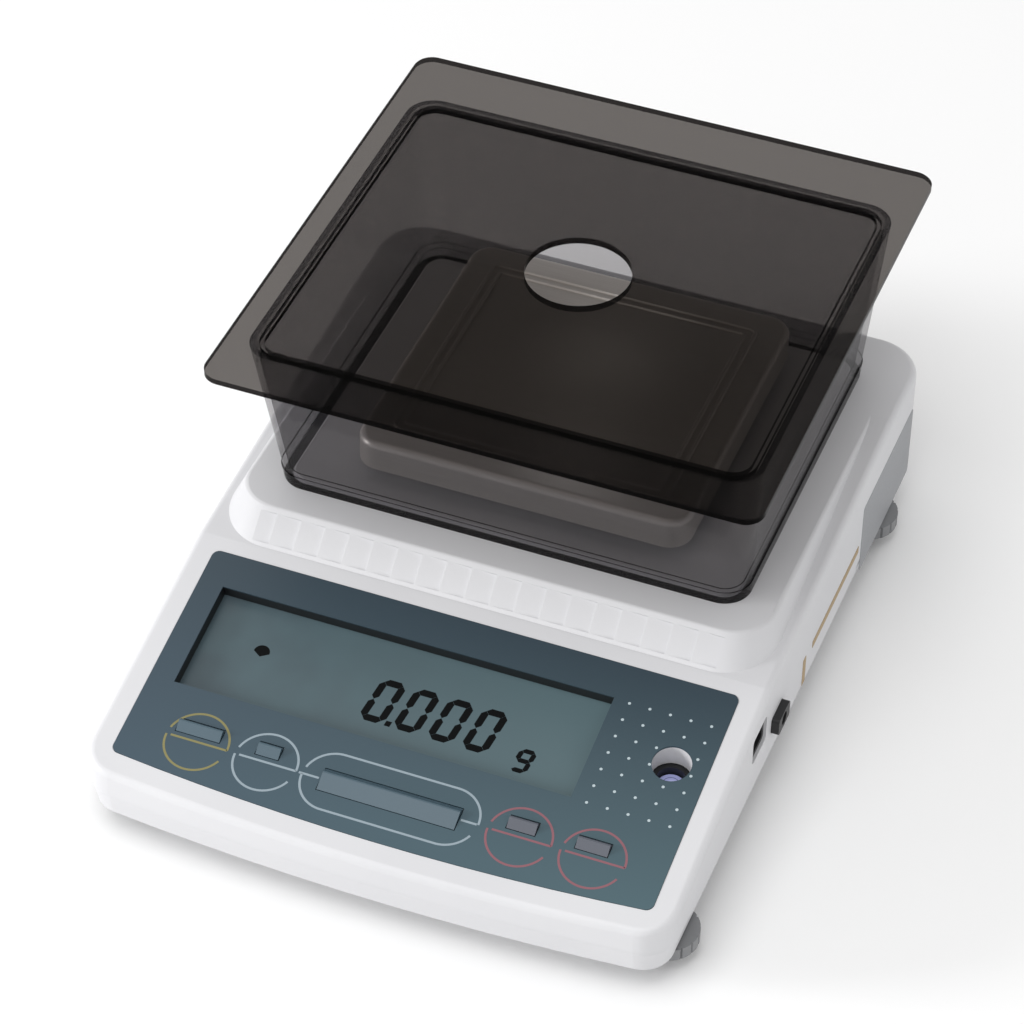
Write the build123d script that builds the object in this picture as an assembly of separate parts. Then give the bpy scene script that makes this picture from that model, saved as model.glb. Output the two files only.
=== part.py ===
from build123d import *
import math
import os

os.makedirs("parts", exist_ok=True)

# Top-loading balance. Millimetres, +Z up, front towards -Y.
# The origin is on the table, under the middle of the object's outline.

# Housing
body_width = 197.0
body_depth = 264.5
front_bow = 5.0
front_corner_radius = 12.0
rear_corner_radius = 17.0
base_z = 11.0
split_z = 20.5
base_draft = 1.4
wall = 2.5
crease_radius = 2.4
parting_step = 0.4
lip_height = 2.0
lip_thickness = 1.2

# Sloped front and shoulders
panel_slope = 11.81
panel_corner_z = 31.5
panel_front_gap = 7.3
panel_length = 81.8
panel_side_border = 8.1
panel_bow = 4.5
panel_corner_radius = 2.6
panel_recess = 0.4
overlay_thickness = 0.55
overlay_gap = 0.15
plateau_z = 58.0
shoulder_length = 127.0

# Raised pedestal that carries the draft shield
pedestal_back_step = 16.2
pedestal_side_step = 7.4
pedestal_rear_step = 7.0
pedestal_front_run = 1.21
pedestal_side_run = 0.49
pedestal_root = 14.0
pedestal_radius = 14.0
pedestal_root_radius = 22.0
pedestal_edge_radius = 1.6
rib_count = 19
rib_end_margin = 9.9
rib_shift = -1.8
rib_depth = 0.8
rib_top_margin = 2.0
rib_bottom_margin = 1.2

# Display
display_left_margin = 8.6
display_right_margin = 37.5
display_front = 30.1
display_height = 38.8
display_depth = 4.4
bezel_wall = 1.2
bezel_flange = 3.0
bezel_flange_thickness = 0.9
cell_thickness = 2.6
board_thickness = 1.6
fit_gap = 0.15

# Keys, placed from the panel's left and right edges
key_left_inset = 24.8
key_left_pitch = 23.6
key_right_inset = 23.4
key_right_pitch = 24.0
key_row = 11.5
key_travel = 0.5
key_gap = 0.3
key_tab_spans = {
    "key_power": (-8.1, 6.9),
    "key_units": (-4.3, 3.4),
    "key_print": (-5.0, 4.3),
    "key_calibrate": (-6.5, 4.0),
}
key_tab_front = 1.9
key_tab_back = 6.6
key_tab_crest = 5.0
tare_tab_side_gap = 20.0
tare_tab_front = -4.0
tare_tab_back = 3.9
tare_tab_crest = 1.6
key_tab_height = 1.5
key_flange_border = 2.6
key_flange_thickness = 1.2
switch_button = 1.6
switch_height = 1.9
switch_body_height = 1.1
key_board_depth = 6.6
key_board_margin = 17.5

# Bubble level
level_right_inset = 12.1
level_row = 51.4
level_window_radius = 6.3
level_tube_wall = 1.4
level_floor_z = 28.2
vial_radius = 4.5
vial_height = 5.0
vial_cup_wall = 2.3
cup_rim_height = 2.4

# Draft shield
shield_side_step = 10.7
shield_front_step = 11.4
shield_rear_step = 14.8
shield_height = 62.5
shield_side_lean = 5.35
shield_front_lean = 11.5
shield_rear_lean = 5.4
shield_wall = 2.0
shield_base_radius = 9.0
shield_top_radius = 10.0
shield_foot_height = 5.5
shield_foot_extra = 0.9
plinth_height = 1.6
plinth_gap = 0.5
lid_thickness = 2.5
lid_side_overhang = 6.75
lid_front_overhang = 16.5
lid_rear_overhang = 19.9
lid_corner_radius = 6.5
lid_edge = 0.5
lid_hole_radius = 17.5
lid_rib_height = 2.0
lid_rib_thickness = 1.6
lid_rib_gap = 0.5

# Pan and its carrier
pan_side_gap = 20.9
pan_front_gap = 7.9
pan_rear_gap = 7.2
pan_top_z = 76.5
pan_skirt = 10.9
pan_sheet = 0.9
pan_corner_radius = 8.0
pan_edge_radius = 2.4
pan_bead_inset = 9.5
pan_bead_width = 1.5
pan_bead_pitch = 3.2
pan_bead_height = 0.6
pad_radius = 4.0
pad_height = 3.6
pad_inset = 17.0
support_thickness = 3.0
support_arm_width = 9.0
support_hub_radius = 9.5
post_radius = 5.0
post_fit = 0.05
collar_gap = 4.0
collar_wall = 2.4
collar_height = 2.0
post_top_z = 67.0

# Weigh cell
chassis_margin = 27.0
chassis_front_gap = 62.0
chassis_rear_gap = 18.0
chassis_thickness = 4.0
floor_thickness = 2.5
magnet_radius = 22.0
magnet_height = 18.5
coil_mean_radius = 14.5
coil_thickness = 2.2
coil_slot_gap = 1.0
coil_depth = 12.5
receptor_disc_radius = 17.0
receptor_disc_thickness = 2.0
receptor_gap = 1.2
column_distance = 39.0
column_depth = 20.0
column_width = 52.0
ledge_depth = 8.0
guide_lower_z = 41.0
guide_upper_z = 50.0
guide_thickness = 0.6
guide_arm = 6.0
guide_nose_radius = 9.0
guide_post_gap = 0.3
clamp_height = 2.4
sensor_width = 16.0
sensor_depth = 6.0
ribbon_x = -38.0
header_width = 14.0
header_depth = 4.0
header_height = 2.4
cable_width = 12.0
cable_thickness = 0.6

# Levelling feet
foot_side_inset = 7.4
foot_front_inset = 26.3
foot_rear_inset = 34.8
stud_radius = 3.0
stud_top_z = 27.5
stud_fit = 0.05
tip_radius = 4.6
tip_height = 4.6
wheel_radius = 10.2
wheel_top_gap = 0.5
wheel_rest_gap = 0.2
wheel_notches = 16
wheel_notch_depth = 0.7
wheel_notch_width = 1.6
foot_boss_radius = 7.2
foot_boss_gap = 0.5

# Case screws
screw_side_inset = 20.0
screw_front_inset = 13.0
screw_rear_inset = 13.0
screw_radius = 1.5
screw_fit = 0.05
screw_head_radius = 2.9
screw_head_height = 2.0
screw_length = 12.5
screw_boss_radius = 4.2

# Right side connectors
socket_front_gap = 88.5
socket_width = 13.4
socket_z = 35.4
socket_height = 10.4
socket_recess = 1.0
socket_body_depth = 15.0
socket_flange = 1.5
socket_mouth_width = 10.0
socket_mouth_height = 7.0
socket_mouth_depth = 9.0
inlet_front_gap = 106.0
inlet_width = 11.0
inlet_bottom_z = 26.5
inlet_top_z = 33.0
inlet_proud = 2.6
inlet_depth = 14.0
inlet_hole_radius = 2.3
inlet_pin_radius = 0.8
inlet_hole_depth = 9.0
main_board_margin = 6.0
main_board_front_gap = 30.0
main_board_depth = 64.0
main_board_z = 16.5

# Derived places
lid_overhang_past_body = lid_rear_overhang + shield_rear_lean - shield_rear_step
front_y = -(body_depth + lid_overhang_past_body) / 2
rear_y = front_y + body_depth
half_width = body_width / 2
slope_rise = math.tan(math.radians(panel_slope))
slope_run = math.cos(math.radians(panel_slope))
panel_front_y = front_y + front_bow + panel_front_gap
panel_half = half_width - panel_side_border
panel_back_y = panel_front_y + panel_length * slope_run
knee_y = panel_back_y + 5.1
plateau_start_y = knee_y + shoulder_length
wall_drop = wall / slope_run
pedestal_front_y = panel_back_y + pedestal_back_step
pedestal_half = half_width - pedestal_side_step
rib_pitch = 2 * (pedestal_half - rib_end_margin) / rib_count
floor_z = base_z + floor_thickness

shield_base_half = pedestal_half - shield_side_step
shield_base_front = pedestal_front_y + shield_front_step
shield_base_rear = rear_y - shield_rear_step
shield_top_half = shield_base_half + shield_side_lean
shield_top_front = shield_base_front - shield_front_lean
shield_top_rear = shield_base_rear + shield_rear_lean
shield_top_z = plateau_z + shield_height
lid_half = shield_top_half + lid_side_overhang
lid_front = shield_top_front - lid_front_overhang
lid_rear = shield_top_rear + lid_rear_overhang

pan_half = shield_base_half - shield_wall - pan_side_gap
pan_front = shield_base_front + shield_wall + pan_front_gap
pan_rear = shield_base_rear - shield_wall - pan_rear_gap
pan_y = (pan_front + pan_rear) / 2
pan_depth = pan_rear - pan_front
pan_under_z = pan_top_z - pan_sheet
column_front_y = pan_y + column_distance
chassis_top_z = floor_z + chassis_thickness

display_left = -panel_half + display_left_margin
display_right = panel_half - display_right_margin
display_width = display_right - display_left
display_x = (display_left + display_right) / 2
display_s = display_front + display_height / 2
key_places = {
    "key_power": -panel_half + key_left_inset,
    "key_units": -panel_half + key_left_inset + key_left_pitch,
    "key_print": panel_half - key_right_inset - key_right_pitch,
    "key_calibrate": panel_half - key_right_inset,
}
tare_half = key_places["key_print"] - tare_tab_side_gap
level_x = panel_half - level_right_inset
socket_centre_y = front_y + socket_front_gap
inlet_centre_y = front_y + inlet_front_gap
cup_rim_z = level_floor_z + vial_height + cup_rim_height

foot_x = half_width - foot_side_inset
foot_front_y = front_y + foot_front_inset
foot_rear_y = rear_y - foot_rear_inset
feet = {
    "front_left": (-foot_x, foot_front_y),
    "front_right": (foot_x, foot_front_y),
    "rear_left": (-foot_x, foot_rear_y),
    "rear_right": (foot_x, foot_rear_y),
}
screw_x = half_width - screw_side_inset
screw_places = [
    (sx, sy)
    for sx in (-screw_x, screw_x)
    for sy in (front_y + front_bow + screw_front_inset, rear_y - screw_rear_inset)
]

panel_plane = Plane(
    origin=(0, panel_front_y, panel_corner_z),
    x_dir=(1, 0, 0),
    z_dir=(0, -slope_rise * slope_run, slope_run),
)
low = (Align.CENTER, Align.CENTER, Align.MIN)


def slope_z(y):
    """Height of the sloped front surface at a depth y."""
    return panel_corner_z + (y - panel_front_y) * slope_rise


def on_panel(x, s, depth=0.0):
    """A place on the panel: x across, s up the slope, depth below the surface."""
    return panel_plane * Pos(x, s, -depth)


def rod(radius, bottom, top, x=0.0, y=0.0):
    """An upright cylinder between two heights."""
    return Pos(x, y, bottom) * Cylinder(radius, top - bottom, align=low)


def tube(outer, inner, bottom, top, x=0.0, y=0.0):
    """An upright tube between two heights."""
    return rod(outer, bottom, top, x, y) - rod(inner, bottom - 1, top + 1, x, y)


def rounded(half, front, rear, radius, z):
    """A rounded rectangle at a height, from its half width and its front and rear."""
    centre = (front + rear) / 2
    return Pos(0, centre, z) * RectangleRounded(2 * half, rear - front, radius)


def case_outline(inset, z):
    """The housing's plan: straight sides, a bowed front and four round corners."""
    half = half_width - inset
    side_y = front_y + front_bow + inset
    face = make_face([
        ThreePointArc((-half, side_y), (0, front_y + inset), (half, side_y)),
        Line((half, side_y), (half, rear_y - inset)),
        Line((half, rear_y - inset), (-half, rear_y - inset)),
        Line((-half, rear_y - inset), (-half, side_y)),
    ])
    face = fillet(face.vertices().sort_by(Axis.Y)[:2], front_corner_radius - inset)
    face = fillet(face.vertices().sort_by(Axis.Y)[-2:], rear_corner_radius - inset)
    return Pos(0, 0, z) * face


def top_profile(drop, bottom):
    """Everything under the sloped front, the shoulders and the rear plateau."""
    reach = 10.0
    outline = Polyline(
        (front_y - reach, bottom),
        (front_y - reach, slope_z(front_y - reach) - drop),
        (knee_y, slope_z(knee_y) - drop),
        (plateau_start_y, plateau_z - drop),
        (rear_y + reach, plateau_z - drop),
        (rear_y + reach, bottom),
        close=True,
    )
    return extrude(Plane.YZ * make_face(outline), amount=half_width + reach, both=True)


def pedestal(inset, drop):
    """The raised platform: a block with a steep front and nearly upright sides."""
    top_z = plateau_z - drop
    depth = pedestal_root
    half = pedestal_half - inset
    front = pedestal_front_y + inset
    rear = rear_y - pedestal_rear_step - inset
    top = rounded(half, front, rear, pedestal_radius - inset, top_z)
    root = rounded(
        half + pedestal_side_run * depth,
        front - pedestal_front_run * depth,
        rear + 0.3 * depth,
        pedestal_root_radius - inset,
        top_z - depth,
    )
    return loft([root, top], ruled=True)


def rib_cuts():
    """Shallow saw-tooth bays across the pedestal's front face."""
    run = pedestal_front_run
    drop = (plateau_z - slope_z(pedestal_front_y)) / (1 - run * slope_rise)
    face_length = math.hypot(1.0, run) * drop
    down = Vector(0, -run, -1).normalized()
    normal = Vector(0, -1, run).normalized()
    start = Vector(0, pedestal_front_y, plateau_z) + down * rib_top_margin
    plane = Plane(origin=start, x_dir=(1, 0, 0), z_dir=down)
    lift = 1 if plane.y_dir.dot(normal) > 0 else -1
    cuts = []
    for i in range(rib_count):
        left = rib_shift + (i - rib_count / 2) * rib_pitch
        right = left + rib_pitch
        wedge = make_face(Polyline(
            (left + 0.4, lift), (left + 0.4, 0), (right, -lift * rib_depth), (right, lift),
            close=True,
        ))
        length = face_length - rib_top_margin - rib_bottom_margin
        cuts.append(extrude(plane * wedge, amount=length))
    return cuts


def panel_outline(gap):
    """The printed panel's outline with its bowed front edge."""
    half = panel_half - gap
    face = make_face([
        ThreePointArc((-half, gap), (0, gap - panel_bow), (half, gap)),
        Line((half, gap), (half, panel_length - gap)),
        Line((half, panel_length - gap), (-half, panel_length - gap)),
        Line((-half, panel_length - gap), (-half, gap)),
    ])
    return fillet(face.vertices(), panel_corner_radius)


def panel_block(sketch, top, bottom):
    """A prism standing square to the panel between two depths below its surface."""
    return extrude(panel_plane * Pos(0, 0, -bottom) * sketch, amount=bottom - top)


def key_tabs():
    """Each key's place, half width and front and back edge on the panel."""
    tabs = {}
    for name, x in key_places.items():
        left, right = key_tab_spans[name]
        tabs[name] = (x + (left + right) / 2, (right - left) / 2, key_row + key_tab_front,
                      key_row + key_tab_back, key_row + key_tab_crest)
    tabs["key_tare"] = (0.0, tare_half, key_row + tare_tab_front, key_row + tare_tab_back,
                        key_row + tare_tab_crest)
    return tabs


def key_slot(tab, grow):
    """A rectangle round a key's tab, grown by a clearance."""
    x, half, front, back, crest = tab
    return Pos(x, (front + back) / 2) * Rectangle(2 * (half + grow), back - front + 2 * grow)


def display_rect(grow):
    """The display window's rectangle, grown by a margin."""
    return Pos(display_x, display_s) * Rectangle(display_width + 2 * grow, display_height + 2 * grow)


def level_spot():
    """The window's centre in the case's own frame."""
    return on_panel(level_x, level_row).position


def upper_case():
    """Moulded top: slope, ribbed pedestal, wells and bosses, open underneath."""
    high = plateau_z + 20
    shell = extrude(case_outline(0, split_z), amount=high - split_z) & top_profile(0, split_z)
    rim = [
        edge
        for edge in shell.edges()
        if edge.center().Z > panel_corner_z - 8 and abs(edge.tangent_at(0.5).Z) < 0.5
        and not (abs(edge.center().X) < 1 and abs(edge.center().Y - front_y) > 8
                 and abs(edge.center().Y - rear_y) > 8)
    ]
    shell = fillet(rim, crease_radius)
    block = pedestal(0, 0)
    top_edges = block.faces().sort_by(Axis.Z)[-1].edges()
    block = fillet(top_edges, pedestal_edge_radius)
    shell += block
    for cut in rib_cuts():
        shell -= cut
    cavity = extrude(case_outline(wall, split_z - 1), amount=high - split_z)
    cavity &= top_profile(wall_drop, split_z - 1)
    cavity += pedestal(wall, wall)
    shell -= cavity
    shell += shield_plinth()

    shell -= panel_block(panel_outline(0), -2, panel_recess)
    shell -= panel_block(display_rect(bezel_wall + fit_gap), -2, wall + 2)
    for tab in key_tabs().values():
        shell -= panel_block(key_slot(tab, key_gap), -2, wall + 2)

    spot = level_spot()
    tube_outer = level_window_radius + level_tube_wall
    well = rod(tube_outer, cup_rim_z + 0.3, spot.Z + 8, spot.X, spot.Y)
    shell += well & top_profile(panel_recess / slope_run, split_z)
    shell -= rod(level_window_radius, split_z, high, spot.X, spot.Y)

    post_hole = post_radius + collar_gap
    shell += rod(post_hole + collar_wall, plateau_z - wall, plateau_z + plinth_height
                 + collar_height, 0, pan_y)
    shell -= rod(post_hole, split_z, high, 0, pan_y)

    for x, y in screw_places:
        boss = rod(screw_boss_radius, split_z, high, x, y) & top_profile(wall / 2, split_z)
        shell += boss
        shell -= rod(screw_radius + screw_fit, split_z - 1, split_z + screw_length - 6, x, y)
    for x, s in key_post_places():
        post = on_panel(x, s, key_board_depth) * Box(4, 4, key_board_depth - wall / 2, align=low)
        shell += post
    for x, s in display_post_places():
        depth = display_depth + cell_thickness
        post = on_panel(x, s, depth) * Box(4, 4, depth - wall / 2, align=low)
        shell += post

    side = Plane.YZ * Pos(socket_centre_y, socket_z) * RectangleRounded(
        socket_width, socket_height, 1.6)
    shell -= Pos(half_width - 5 * wall, 0, 0) * extrude(side, amount=8 * wall)
    shell -= inlet_block(fit_gap)
    return shell


def key_post_places():
    """Posts for the key board, midway between neighbouring keys."""
    tabs = sorted(key_tabs().values())
    return [
        ((left[0] + left[1] + right[0] - right[1]) / 2, key_row + 2)
        for left, right in zip(tabs, tabs[1:])
    ]


def display_post_places():
    """Posts at the four corners of the display board."""
    half = display_width / 2 + bezel_flange + bezel_wall + 3.4
    rise = display_height / 2 - 4
    return [
        (display_x + sx * half, display_s + sy * rise)
        for sx in (-1, 1)
        for sy in (-1, 1)
    ]


def shield_plinth():
    """A low plate on the pedestal that the draft shield drops over."""
    inset = shield_wall + shield_foot_extra / 2 + plinth_gap
    plate = rounded(
        shield_base_half - inset, shield_base_front + inset, shield_base_rear - inset,
        shield_base_radius - inset, plateau_z - wall / 2,
    )
    solid = extrude(plate, amount=wall / 2 + plinth_height)
    top = solid.faces().sort_by(Axis.Z)[-1]
    return chamfer(top.edges(), 0.6)


def inlet_block(grow):
    """The power inlet's outer block, with a clearance where it passes the case."""
    width = inlet_width + 2 * grow
    bottom = inlet_bottom_z - grow
    height = inlet_top_z - inlet_bottom_z + 2 * grow
    start = half_width - inlet_depth
    face = Plane.YZ * Pos(inlet_centre_y, bottom + height / 2) * RectangleRounded(width, height, 1.2)
    return Pos(start, 0, 0) * extrude(face, amount=inlet_depth + inlet_proud)


def lower_case():
    """Moulded tray with the foot and screw bosses and a locating lip."""
    step = parting_step
    height = split_z - base_z
    solid = extrude(case_outline(step, base_z), amount=height)
    solid = chamfer(solid.faces().sort_by(Axis.Z)[0].edges(), height - 1.5, base_draft)
    shell = solid - extrude(case_outline(step + base_draft + wall, floor_z), amount=height)
    lip_out = wall + 0.2
    lip = extrude(case_outline(lip_out, split_z - 3), amount=3 + lip_height)
    lip -= extrude(case_outline(lip_out + lip_thickness, split_z - 4), amount=6 + lip_height)
    shell += lip
    for x, y in feet.values():
        shell += rod(foot_boss_radius, base_z + 0.1, split_z - foot_boss_gap, x, y) & solid
        shell -= rod(stud_radius + stud_fit, base_z - 1, split_z + 1, x, y)
    for x, y in screw_places:
        shell += rod(screw_boss_radius, base_z, split_z, x, y)
        shell -= rod(screw_radius + 0.2, base_z - 1, split_z + 1, x, y)
        shell -= rod(screw_head_radius + 0.3, base_z - 1, base_z + screw_head_height + 0.4, x, y)
    return shell


def panel_overlay():
    """Printed plastic film with its display, key and level windows."""
    sheet = panel_block(panel_outline(overlay_gap), panel_recess - overlay_thickness, panel_recess)
    sheet -= panel_block(display_rect(0), -2, wall)
    for tab in key_tabs().values():
        sheet -= panel_block(key_slot(tab, key_gap), -2, wall)
    spot = level_spot()
    sheet -= rod(level_window_radius, split_z, plateau_z, spot.X, spot.Y)
    return sheet


def display_bezel():
    """Dark frame that lines the display well and clamps against the case."""
    case_under = wall
    frame = panel_block(display_rect(bezel_wall), panel_recess, display_depth)
    flange_top = case_under
    frame += panel_block(display_rect(bezel_wall + bezel_flange), flange_top,
                         flange_top + bezel_flange_thickness)
    return frame - panel_block(display_rect(0), -1, display_depth + 1)


def display_cell():
    """Liquid-crystal cell under the bezel."""
    return panel_block(display_rect(bezel_wall), display_depth, display_depth + cell_thickness)


def display_board():
    """Circuit board behind the display cell."""
    top = display_depth + cell_thickness
    under = top + board_thickness
    width = display_width + 2 * (bezel_flange + bezel_wall + 6.4)
    board = panel_block(Pos(display_x, display_s) * Rectangle(width, display_height + 3), top, under)
    header = Pos(ribbon_x, display_s) * Rectangle(header_width, header_depth)
    board += panel_block(header, under, under + header_height)
    return board


def key_cap(tab):
    """Key with a ridge that stands through the film and a flange that holds it in."""
    x, half, front, back, crest = tab
    foot = overlay_thickness - panel_recess
    profile = make_face(Polyline(
        (front, -foot), (front, foot), (crest, foot + key_tab_height),
        (crest + 0.5, foot + key_tab_height), (back, foot), (back, -foot), close=True,
    ))
    local = Plane(origin=(x - half, 0, 0), x_dir=(0, 1, 0), z_dir=(1, 0, 0))
    ridge = extrude(local * profile, amount=2 * half)
    ridge = panel_plane * ridge
    flange_top = wall + key_gap / 2
    stem = panel_block(key_slot(tab, 0), 0, flange_top + key_flange_thickness)
    flange = panel_block(key_slot(tab, key_flange_border), flange_top,
                         flange_top + key_flange_thickness)
    plunger = on_panel(x, (front + back) / 2, key_board_depth - switch_height - key_travel - 0.1)
    length = key_board_depth - switch_height - key_travel - 0.1 - flange_top
    return ridge + stem + flange + plunger * Cylinder(1.8, length, align=low)


def key_board():
    """Circuit board under the keys."""
    half = panel_half - key_board_margin
    front = key_row - 8.0
    back = key_row + 10.5
    plate = Pos(0, (front + back) / 2) * Rectangle(2 * half, back - front)
    return panel_block(plate, key_board_depth, key_board_depth + board_thickness)


def key_switches():
    """A tact switch under each key."""
    group = []
    for x, half, front, back, crest in key_tabs().values():
        place = on_panel(x, (front + back) / 2, key_board_depth)
        switch = Box(6.0, 6.0, switch_body_height, align=low)
        switch += Box(2 * switch_button, 2 * switch_button, switch_height, align=low)
        group.append(place * switch)
    return Compound(children=group)


def level_cup():
    """Black cup that holds the bubble vial a little below its rim."""
    spot = level_spot()
    outer = vial_radius + vial_cup_wall
    cup = rod(outer, level_floor_z - 1.2, cup_rim_z, spot.X, spot.Y)
    cup -= rod(vial_radius + fit_gap, level_floor_z, cup_rim_z + 1, spot.X, spot.Y)
    stem = rod(2.6, floor_z, level_floor_z - 1.2, spot.X, spot.Y)
    foot = rod(6.0, floor_z, floor_z + 1.6, spot.X, spot.Y)
    return cup + stem + foot


def level_vial():
    """Sealed bubble vial with a domed top."""
    spot = level_spot()
    vial = rod(vial_radius, level_floor_z, level_floor_z + vial_height, spot.X, spot.Y)
    return chamfer(vial.faces().sort_by(Axis.Z)[-1].edges(), 0.5)


def data_socket():
    """Black data connector that fills its opening, with a flange behind the wall."""
    def section(width, height, radius):
        return Plane.YZ * Pos(socket_centre_y, socket_z) * RectangleRounded(width, height, radius)

    face_x = half_width - socket_recess
    back = face_x - socket_body_depth
    nose = section(socket_width - 2 * fit_gap, socket_height - 2 * fit_gap, 1.4)
    block = Pos(back, 0, 0) * extrude(nose, amount=socket_body_depth)
    flange = section(socket_width + 2 * socket_flange, socket_height + 2 * socket_flange, 1.0)
    block += Pos(back, 0, 0) * extrude(flange, amount=half_width - wall - key_gap - back)
    mouth = section(socket_mouth_width, socket_mouth_height, 1.0)
    return block - Pos(face_x - socket_mouth_depth, 0, 0) * extrude(mouth, amount=socket_body_depth)


def power_inlet():
    """Black low-voltage inlet that stands a little proud of the right side."""
    middle = (inlet_bottom_z + inlet_top_z) / 2
    axis_plane = Plane(origin=(half_width + inlet_proud, inlet_centre_y, middle), z_dir=(-1, 0, 0))
    block = inlet_block(0)
    block -= extrude(axis_plane * Circle(inlet_hole_radius), amount=inlet_hole_depth)
    pin = axis_plane * Pos(0, 0, 0.8) * Cylinder(inlet_pin_radius, inlet_hole_depth, align=low)
    return block + pin


def connector_board():
    """Upright board behind the two side connectors."""
    x = half_width - inlet_depth - board_thickness
    front = socket_centre_y - socket_width / 2 - 4
    back = inlet_centre_y + inlet_width / 2 + 4
    bottom = main_board_z + board_thickness
    top = socket_z + socket_height / 2 - 0.5
    x_socket = half_width - socket_recess - socket_body_depth
    inner = min(x, x_socket - board_thickness)
    plate = Pos(inner, (front + back) / 2, bottom) * Box(
        board_thickness, back - front, top - bottom, align=(Align.MIN, Align.CENTER, Align.MIN))
    spacer = Pos(inner + board_thickness, inlet_centre_y, inlet_bottom_z + 1) * Box(
        x + board_thickness - inner - board_thickness, inlet_width - 2,
        inlet_top_z - inlet_bottom_z - 2, align=(Align.MIN, Align.CENTER, Align.MIN))
    return plate + spacer


def main_board():
    """Main circuit board with its larger parts, on four spacers."""
    half = half_width - wall - main_board_margin
    front = front_y + main_board_front_gap
    plate = Pos(0, front, main_board_z) * Box(
        2 * half - 30, main_board_depth, board_thickness, align=(Align.CENTER, Align.MIN, Align.MIN))
    top = main_board_z + board_thickness
    parts = [(-38, 20, 16, 16, 2.2), (-8, 38, 12, 20, 2.4), (22, 18, 20, 8, 1.8)]
    for x, y, w, d, h in parts:
        plate += Pos(x, front + y, top) * Box(w, d, h, align=low)
    for y in (display_ribbon_y(), front + main_board_depth - 6):
        x = ribbon_x if y == display_ribbon_y() else -ribbon_x
        plate += Pos(x, y, top) * Box(header_width, header_depth, header_height, align=low)
    for sx in (-1, 1):
        for sy in (5, main_board_depth - 5):
            plate += Pos(sx * (half - 20), front + sy, floor_z) * Box(
                5, 5, main_board_z - floor_z, align=low)
    return plate


def display_ribbon_y():
    """Where the display's flat cable meets the main board."""
    return on_panel(0, display_s, display_depth).position.Y + 8.0


def flat_cable(x, points):
    """A flat cable that follows points given as (y, z)."""
    line = offset(Polyline(*points), amount=cable_thickness / 2, side=Side.BOTH)
    strip = extrude(Plane.YZ * make_face(line), amount=cable_width / 2, both=True)
    return Pos(x, 0, 0) * strip


def display_cable():
    """Flat cable between the display board and the main board."""
    depth = display_depth + cell_thickness + board_thickness + header_height
    start = on_panel(ribbon_x, display_s, depth + cable_thickness / 2).position
    end_y = display_ribbon_y()
    end_z = main_board_z + board_thickness + header_height + cable_thickness / 2
    bend = (start.Z + end_z) / 2
    return flat_cable(ribbon_x, [
        (start.Y, start.Z), (start.Y + 12, start.Z - 1), (start.Y + 13, bend),
        (end_y - 2, bend - 2), (end_y, end_z),
    ])


def cell_cable():
    """Flat cable between the main board and the weigh cell's sensor board."""
    rise = board_thickness + header_height + cable_thickness / 2
    start_y = front_y + main_board_front_gap + main_board_depth - 6
    end_y = sensor_front() + header_depth / 2 + 1
    top = chassis_top_z + 6
    return flat_cable(-ribbon_x, [
        (start_y, main_board_z + rise), (start_y + 8, top), (end_y - 8, top),
        (end_y, chassis_top_z + rise),
    ])


def sensor_front():
    """Front of the position sensor, just behind the magnet pot."""
    return pan_y + magnet_radius + 1.5


def position_sensor():
    """Forked light gate and its board; the receptor's vane moves in the fork."""
    front = sensor_front()
    board_end = -ribbon_x + header_width / 2 + 1
    board = Pos(-sensor_width / 2, front, chassis_top_z) * Box(
        board_end + sensor_width / 2, 12.0, board_thickness, align=(Align.MIN,) * 3)
    header = Pos(-ribbon_x, front + header_depth / 2 + 1, chassis_top_z + board_thickness) * Box(
        header_width, header_depth, header_height, align=low)
    fork_z = chassis_top_z + board_thickness
    top = guide_lower_z - 0.8
    fork = Pos(0, front + sensor_depth / 2 + 1, fork_z) * Box(
        sensor_width, sensor_depth, top - fork_z, align=low)
    fork -= Pos(0, front + sensor_depth / 2 + 1, top - 7) * Box(2.6, sensor_depth + 2, 8, align=low)
    beam = Plane(origin=(-sensor_width, front + sensor_depth / 2 + 1, top - 2.4), z_dir=(1, 0, 0))
    fork -= extrude(beam * Circle(0.8), amount=2 * sensor_width)
    return board + header + fork


def chassis():
    """Cast base plate that carries the weigh cell."""
    half = half_width - chassis_margin
    front = pan_y - chassis_front_gap
    rear = rear_y - chassis_rear_gap
    plate = extrude(rounded(half, front, rear, 8.0, floor_z), amount=chassis_thickness)
    return plate


def magnet_pot():
    """Magnet pot of the force coil, with its ring gap."""
    top = chassis_top_z + magnet_height
    pot = rod(magnet_radius, chassis_top_z, top, 0, pan_y)
    inner = coil_mean_radius - coil_thickness / 2 - coil_slot_gap
    outer = coil_mean_radius + coil_thickness / 2 + coil_slot_gap
    pot -= tube(outer, inner, top - coil_depth - 2, top + 1, 0, pan_y)
    return pot


def load_receptor():
    """Moving post with the disc that carries the force coil."""
    disc_z = chassis_top_z + magnet_height + receptor_gap
    disc = rod(receptor_disc_radius, disc_z, disc_z + receptor_disc_thickness, 0, pan_y)
    post = rod(post_radius, disc_z, post_top_z, 0, pan_y)
    post = chamfer(post.faces().sort_by(Axis.Z)[-1].edges(), 1.0)
    reach = sensor_front() + sensor_depth + 0.4
    vane = Pos(0, pan_y + post_radius, disc_z) * Box(
        1.0, reach - pan_y - post_radius, receptor_disc_thickness,
        align=(Align.CENTER, Align.MIN, Align.MIN))
    return disc + post + vane


def force_coil():
    """Copper coil under the receptor's disc, in the magnet's ring gap."""
    top = chassis_top_z + magnet_height + receptor_gap
    return tube(coil_mean_radius + coil_thickness / 2, coil_mean_radius - coil_thickness / 2,
                top - coil_depth, top, 0, pan_y)


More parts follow.
